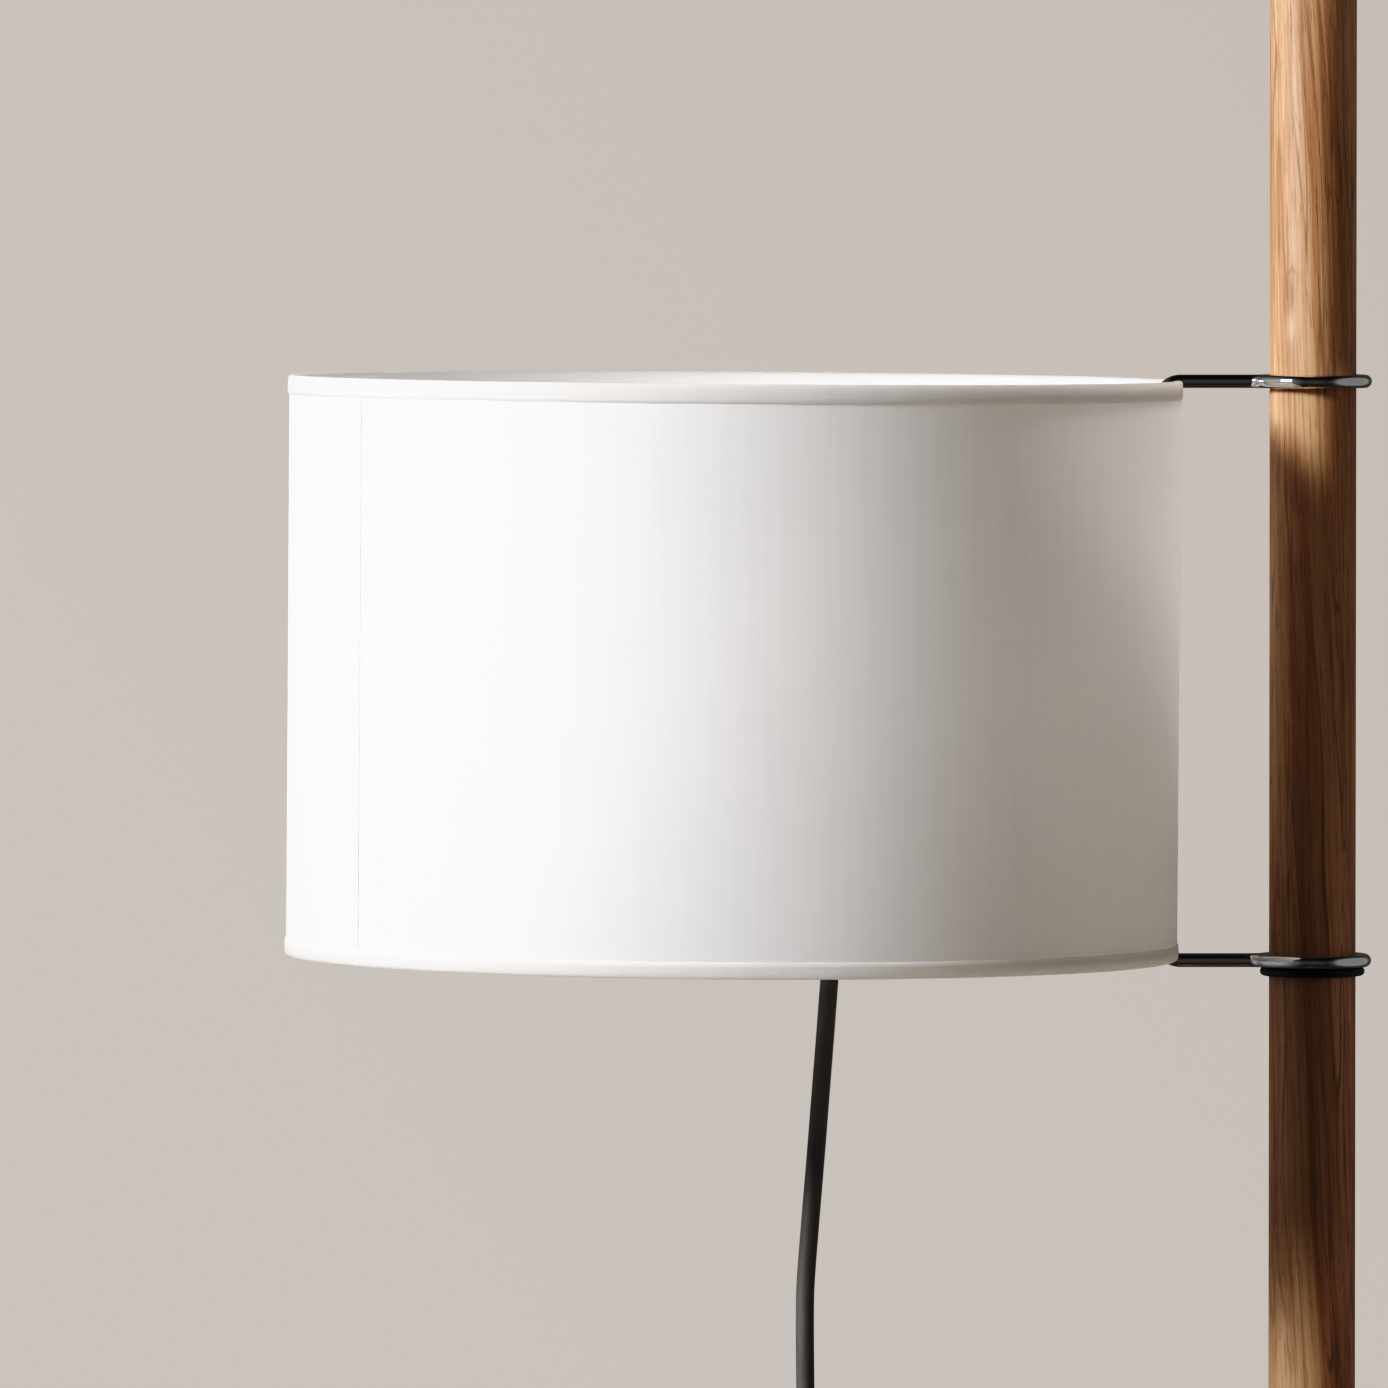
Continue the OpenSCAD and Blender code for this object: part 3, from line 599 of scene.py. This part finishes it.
AWAY = 0.5  # how much further the drum hangs from the mast than the CAD's
lean = (
    Matrix.Translation((-SHADE_GAP, 0, FRAME_Z + SHADE_H / 2))
    @ Matrix.Rotation(math.radians(TILT), 4, "Y")
    @ Matrix.Translation((-SHADE_R - AWAY, 0, 0))
)
# The wires' notches: half their width, in degrees, and their depth, in millimetres
NOTCH, NOTCH_H = math.degrees(5.6 / SHADE_R), 2.7
# The cloth's seam: where it is and how wide its lap is, in degrees
SEAM, LAP = 213.3, 2.1
# The lap's edge: how far it stands out, in millimetres, and how wide it rises, in degrees
LAP_RISE, LAP_SLOPE = 0.45, 1.2
STEPS = 720  # pieces that a sheet is divided into round the drum


def drum_point(radius, degrees, z):
    a = math.radians(degrees)
    return lean @ Vector((radius * math.cos(a), radius * math.sin(a), z))


def wave(*at):
    return noise.noise(Vector(at))


def wall(name, radius, seam, lap, swell, top, material, short=0.0):
    """The rolled sheet of the shade, whose ends overlap at the seam, notched for the wires."""
    start = seam + lap / 2
    angles = [start - lap + (360 + lap) * k / STEPS for k in range(STEPS + 1)]
    for mark in (360 - NOTCH, 360 + NOTCH):
        near = min(range(STEPS + 1), key=lambda k: abs(angles[k] - mark))
        angles[near] = mark
    heights = {round(-top + 2 * top * k / 24, 3) for k in range(25)}
    heights = sorted({-top, top, -top + NOTCH_H, top - NOTCH_H} | heights)
    rows = []
    for z in heights:
        row = []
        for a in angles:
            c, s = math.cos(math.radians(a)), math.sin(math.radians(a))
            over = ease((a - (start + 360 - lap - LAP_SLOPE)) / LAP_SLOPE)
            r = radius + LAP_RISE * over + swell * wave(c * 2.2, s * 2.2, z / 160)
            beside = abs((a + 180) % 360 - 180) > NOTCH + 0.4
            row.append(drum_point(r, a, z * (1 - short / top * beside)))
        rows.append(row)

    def cut(i, k):
        a = (angles[k] + angles[k + 1]) / 2
        return abs(a - 360) < NOTCH and (i == 0 or i == len(heights) - 2)

    mesh = grid_mesh(
        name, rows, skip=cut,
        uv=lambda i, k: (angles[k] * math.pi / 180 * radius * MM, heights[i] * MM),
    )  # fmt: skip
    piece = link(name, tidy(mesh))
    paint(piece, material)
    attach(piece, "shade")
    return piece


HEM = 3.9  # how far short of the rims the cloth ends, under the tapes
cloth = wall("drum_cloth", SHADE_R, SEAM, LAP, 0.12, SHADE_H / 2 - 0.7, CLOTH, HEM)
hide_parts("shade_fabric")
liner = wall("drum_liner", SHADE_R - 1.1, SEAM + 6, 1.5, 0.1, SHADE_H / 2 - 0.9, LINER)
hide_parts("shade_liner")


# The top tape stands higher than the CAD's, in millimetres, and is folded further down
TOP_RISE, TOP_STRETCH = 0.9, 1.14


def tape(name, up):
    """The tape folded over a rim, slightly uneven, open where the wires pass."""
    rim = SHADE_H / 2
    section = [
        (SHADE_R + 0.12, -6.5), (SHADE_R + 0.5, -6.3), (SHADE_R + 0.6, -4.5),
        (SHADE_R + 0.62, -2.4), (SHADE_R + 0.5, -0.9), (SHADE_R + 0.1, -0.15),
        (SHADE_R - 0.8, 0.02), (SHADE_R - 2.6, -0.1), (SHADE_R - 4, -0.5),
        (SHADE_R - 4.9, -1.6), (SHADE_R - 5.25, -3.4), (SHADE_R - 5.2, -5.2),
        (SHADE_R - 4.9, -6.6), (SHADE_R - 4.3, -6.5),
    ]  # fmt: skip
    edges = (0, 1, 12, 13)
    steps = 540
    angles = [NOTCH + (360 - 2 * NOTCH) * k / steps for k in range(steps + 1)]
    rows = []
    for j, (r, h) in enumerate(section):
        row = []
        for a in angles:
            c, s = math.cos(math.radians(a)), math.sin(math.radians(a))
            frayed = 0.22 * wave(c * 9, s * 9, up * 3) + 0.1 * wave(c * 60, s * 60, up)
            puff = 0.1 * wave(c * 26, s * 26, j * 0.3 + up) + 0.06 * wave(c * 90, s * 90, j * 0.5)
            lift = h + (frayed if j in edges else 0)
            if up > 0:
                lift = TOP_RISE + lift * TOP_STRETCH
            row.append(drum_point(r + puff * (1 if j > 0 else 0.2), a, up * (rim + lift)))
        rows.append(row)
    lengths = [0.0]
    for (r0, h0), (r1, h1) in zip(section, section[1:]):
        lengths.append(lengths[-1] + math.hypot(r1 - r0, h1 - h0))
    mesh = grid_mesh(
        name, rows,
        uv=lambda i, k: (angles[k] * math.pi / 180 * SHADE_R * MM, lengths[i] * MM),
    )  # fmt: skip
    piece = link(name, tidy(mesh))
    paint(piece, TAPE)
    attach(piece, "shade")
    return piece


tapes = [tape("rim_tape_top", 1), tape("rim_tape_bottom", -1)]
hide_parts("trim_top")
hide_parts("trim_bottom")


# ------------------------------------------------------------------ carried-over nodes

for material, names in (
    (HUB_WOOD, ("hub",)),
    (CHROME, ("lamp_arm",)),
    (ZINC, ("hub_bolt", "hub_washer", "foot_screws", "ring_top", "ring_bottom", "holder_washers",
            "holder_nut", "holder_nipple", "switch_spring", "switch_screws")),
    (BRASS, ("mast_insert", "holder_thread", "holder_contact", "bulb_cap", "bulb_tip",
             "plug_pins")),
    (RUBBER, ("foot_1", "foot_2", "foot_3", "stop_ring", "switch_sleeves", "coil_tie",
              "plug_sleeve", "plug_body")),
    (PLASTIC, ("holder_cap", "holder_shell", "cord_gland", "switch_base", "switch_cover",
               "switch_button")),
    (CERAMIC, ("holder_insert", "switch_block")),
    (OPAL, ("bulb_glass",)),
):  # fmt: skip
    for name in names:
        paint(nodes[name], material)
for index, azimuth in enumerate((0, 120, 240)):
    grain = wood(f"Leg wood {index + 1}", azimuth, 90 + LEG_SLOPE, (0.2 * index, 0.1, 0.3))
    paint(nodes[f"leg_{index + 1}"], grain)
paint(nodes["leg_pins"], HUB_WOOD)


# ------------------------------------------------------------------ room

floor = link("Floor", lathe("Floor", [(0.01, -0.5), (1200, -0.5), (4200, -0.5)], 96))
floor.visible_glossy = floor.visible_diffuse = False
net = new_net("Floor")
speck = net.noise(net.place(), 60.0, 4, 0.6)
tone = net.mix(net.ramp(speck, [(0.4, 0.0), (0.6, 1.0)]), (0.6, 0.575, 0.54), (0.63, 0.605, 0.57))
paint(floor, net.done(net.surface(tone, 0.7)))

scene.world = bpy.data.worlds.new("Room")
net = Net(scene.world)
way = net.split(net.add("TexCoord").outputs["Generated"])
rays = net.add("LightPath").outputs
across, depth, up = (net.math("MULTIPLY_ADD", way[k], 0.5, 0.5) for k in ("X", "Y", "Z"))
# The room's even light, and what the metal mirrors: front and back, floor, and both sides
ambient = net.ramp(
    depth,
    [(0.0, (0.066, 0.061, 0.054)), (0.5, (0.105, 0.093, 0.079)), (1.0, (0.17, 0.15, 0.127))],
)
mirror = net.ramp(
    depth,
    [
        (0.0, (0.09, 0.086, 0.08)),
        (0.16, (0.012, 0.011, 0.01)),
        (0.7, (0.014, 0.013, 0.012)),
        (1.0, (0.1, 0.093, 0.083)),
    ],
)
under = net.ramp(
    up,
    [(0.05, (0.03, 0.028, 0.025)), (0.2, (0.012, 0.011, 0.01)), (0.4, (0.0, 0.0, 0.0))],
)
aside = net.ramp(
    across,
    [(0.0, 0.42), (0.2, 0.12), (0.34, 0.0), (0.72, 0.0), (0.8, 0.06), (0.87, 0.26), (1.0, 0.24)],
)
mirror = net.mix(1.0, net.mix(1.0, mirror, under, "ADD"), aside, "ADD")
light = net.mix(rays["Is Glossy Ray"], ambient, mirror)
# The backdrop, a little darker towards the upper right
falloff = net.math("MULTIPLY_ADD", way["Z"], 6.0, 0.55)
falloff = net.math("MULTIPLY_ADD", way["X"], 9.0, falloff, clamp=True)
backdrop = net.mix(falloff, (0.59, 0.546, 0.508), (0.565, 0.507, 0.468))
light = net.mix(rays["Is Camera Ray"], light, backdrop)
net.add(
    "OutputWorld",
    {"Surface": net.add("Background", {"Color": light, "Strength": 1.0}).outputs[0]},
)


def lights_only(lamp, *pieces):
    group = bpy.data.collections.new(lamp.name + " lights")
    for piece in pieces:
        group.objects.link(piece)
    lamp.light_linking.receiver_collection = group


def softbox(name, at, towards, size, power, colour, glossy=True):
    lamp = bpy.data.lights.new(name, "AREA")
    lamp.shape = "RECTANGLE"
    lamp.size, lamp.size_y = size
    lamp.energy = power
    lamp.color = colour
    piece = bpy.data.objects.new(name, lamp)
    scene.collection.objects.link(piece)
    piece.location = at
    piece.rotation_euler = (Vector(at) - Vector(towards)).to_track_quat("Z", "Y").to_euler()
    piece.visible_camera = False
    piece.visible_glossy = glossy
    return piece


# What the key light aims at, and which way it lies from there
AIM = Vector((-0.13, 0, 1.27))
KEY = Vector((-0.77, -0.471, 0.431))
softbox("Key", AIM + KEY * 3.2, AIM, (1.2, 0.8), 171, (0.95, 0.965, 1.0))
softbox("Fill", (2.5, -1.5, 1.6), (-0.1, 0, 1.2), (1.4, 1.8), 9, (1.0, 0.88, 0.77), False)
# A faint light inside the drum stands in for what a bright room would put there
glow = bpy.data.objects.new("Glow", bpy.data.lights.new("Glow", "POINT"))
scene.collection.objects.link(glow)
glow.parent = cloth
glow.location = (-0.222, 0, FRAME_Z * MM + 0.13)
glow.data.shadow_soft_size = 0.05
glow.data.energy = 1.42
glow.data.color = (1.0, 0.97, 0.94)
glow.visible_camera = glow.visible_glossy = False
lights_only(glow, cloth, liner, *tapes, cord_upper)
# A light that reaches only the floor, so that it looks pale in every view
ceiling = softbox("Ceiling", (0, 0.01, 4), (0, 0, 0), (8, 8), 140, (1.0, 0.96, 0.91), False)
lights_only(ceiling, floor)

# The picture's contrast: a tone curve that is steep in the dark and flat in the light
scene.view_settings.view_transform = "Standard"
scene.view_settings.look = "None"
scene.view_settings.use_curve_mapping = True
curves = scene.view_settings.curve_mapping
curves.white_level = (1.4, 1.4, 1.4)
for at, value in (
    (0.036, 0.018), (0.071, 0.058), (0.143, 0.165), (0.25, 0.345), (0.5, 0.7), (0.6, 0.835),
    (0.7, 0.93), (0.8, 0.958),
):  # fmt: skip
    curves.curves[3].points.new(at, value)
curves.curves[3].points[-1].location = (1.0, 0.97)
curves.update()
